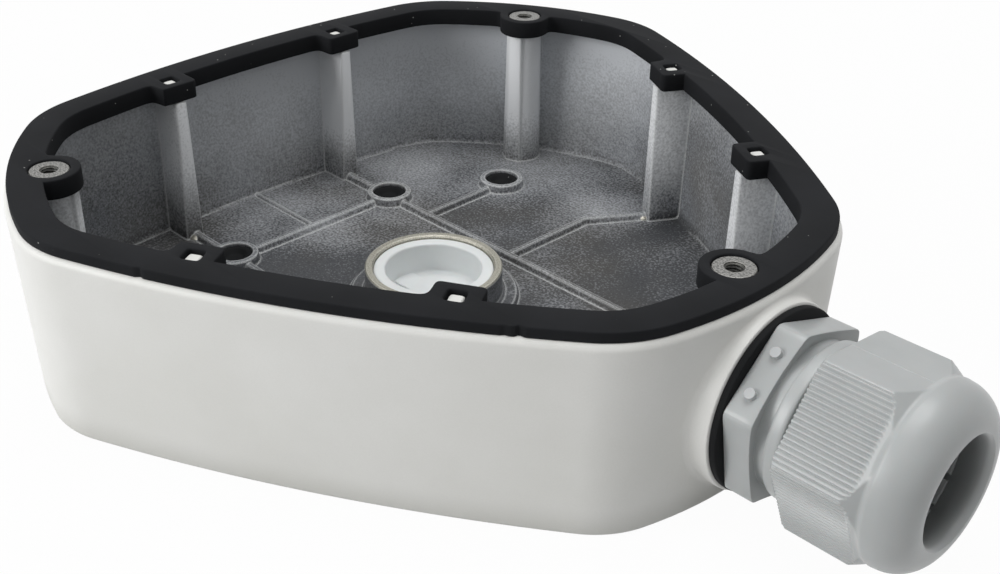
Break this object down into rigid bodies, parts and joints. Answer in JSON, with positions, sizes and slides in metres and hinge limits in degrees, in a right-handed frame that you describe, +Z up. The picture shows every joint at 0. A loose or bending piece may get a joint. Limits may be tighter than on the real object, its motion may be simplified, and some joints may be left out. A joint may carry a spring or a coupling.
{
  "type": "camera junction box",
  "caption": "Three-cornered cast junction box for a dome camera, open at the top with its rim gasket, floor bosses, base plug and cable gland",
  "frame": {"origin": "centre of the base face, under the middle of the base entry", "axes": "+Z up to the open rim; +X out of the corner that holds the cable gland; the form is mirrored across the X-Z plane"},
  "size_m": [0.2079, 0.1788, 0.0447],
  "materials": {
    "casting": "satin white powder coat outside, raw blasted aluminium inside",
    "gasket_rubber": "matt black moulded rubber",
    "white_plastic": "satin white plastic",
    "seal_rubber": "matt black rubber",
    "plug_rubber": "matt black rubber",
    "grey_nylon": "satin light grey nylon"
  },
  "bodies": {
    "box": {"box_casting": "casting", "rim_gasket": "gasket_rubber", "gland_washer": "seal_rubber", "gland_body": "grey_nylon", "mount_plug_1": "plug_rubber", "mount_plug_2": "plug_rubber", "mount_plug_3": "plug_rubber", "mount_plug_4": "plug_rubber", "mount_plug_5": "plug_rubber", "mount_plug_6": "plug_rubber", "mount_plug_7": "plug_rubber"},
    "gland_seal": {"gland_seal": "seal_rubber"},
    "gland_nut": {"gland_nut": "grey_nylon"},
    "plug_seal": {"base_plug_seal": "seal_rubber"},
    "base_plug": {"base_plug": "white_plastic"}
  },
  "joints": [
    {"name": "nut_advance", "type": "slide", "parent": "box", "child": "gland_seal", "axis": [1, 0, 0], "range_m": [0, 0.006]},
    {"name": "nut_turn", "type": "hinge", "parent": "gland_seal", "child": "gland_nut", "pos_m": [0.114, 0, 0.0211], "axis": [1, 0, 0], "range_deg": [0, 1460]},
    {"name": "plug_advance", "type": "slide", "parent": "box", "child": "plug_seal", "axis": [0, 0, -1], "range_m": [0, 0.00714]},
    {"name": "plug_turn", "type": "hinge", "parent": "plug_seal", "child": "base_plug", "pos_m": [0, 0, 0.005], "axis": [0, 0, -1], "range_deg": [0, 1640]}
  ],
  "couplings": [
    {"joint": "nut_turn", "follows": "nut_advance", "rad_per_m": 4188.8},
    {"joint": "plug_turn", "follows": "plug_advance", "rad_per_m": 3957.9}
  ]
}
